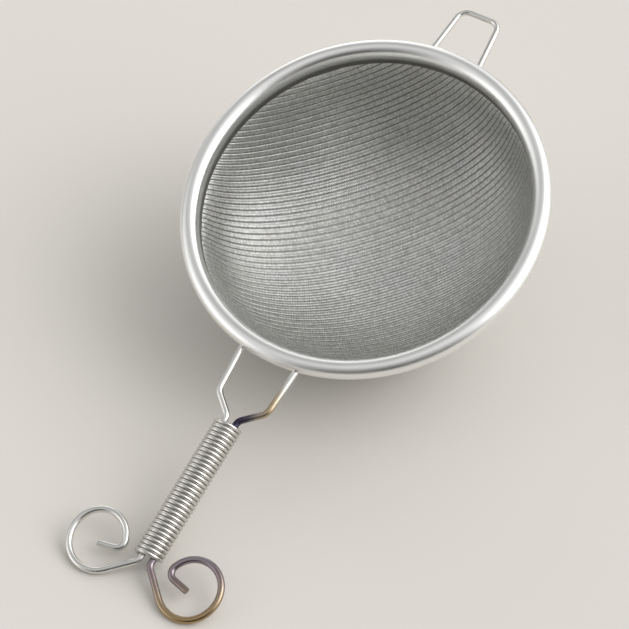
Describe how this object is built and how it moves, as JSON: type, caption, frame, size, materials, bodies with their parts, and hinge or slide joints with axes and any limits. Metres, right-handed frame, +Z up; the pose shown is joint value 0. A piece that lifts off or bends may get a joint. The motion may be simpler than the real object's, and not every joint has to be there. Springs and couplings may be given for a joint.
{
  "type": "flour sifter",
  "caption": "Small round fine-mesh strainer with a rolled rim, a coil-wound wire handle ending in two scrolls, and a rest loop opposite.",
  "frame": {"origin": "the point where the bowl touches the surface that the sifter lies on, in its resting pose", "axes": "+Z up from that surface; -Y along the grip to the scrolls, +Y to the rest loop; X across, the part mirrors about the YZ plane"},
  "size_m": [0.12, 0.2096, 0.0721],
  "materials": {
    "rim_steel": "polished",
    "hoop_steel": "satin",
    "mesh_steel": "woven wire cloth",
    "wire_steel": "polished",
    "tinted_wire_steel": "polished, with faint heat tint",
    "coil_steel": "bright drawn"
  },
  "bodies": {
    "strainer": {"rim_band": "rim_steel", "clamp_hoop": "hoop_steel", "mesh_bowl": "mesh_steel", "handle_wire_left": "wire_steel", "handle_wire_right": "tinted_wire_steel", "rest_loop": "wire_steel"},
    "grip": {"grip_coil": "coil_steel"}
  },
  "joints": [
    {"name": "grip_spin", "type": "hinge", "parent": "strainer", "child": "grip", "pos_m": [0, -0.09331, 0.01296], "axis": [0, -0.9436, -0.3311], "continuous": true}
  ]
}
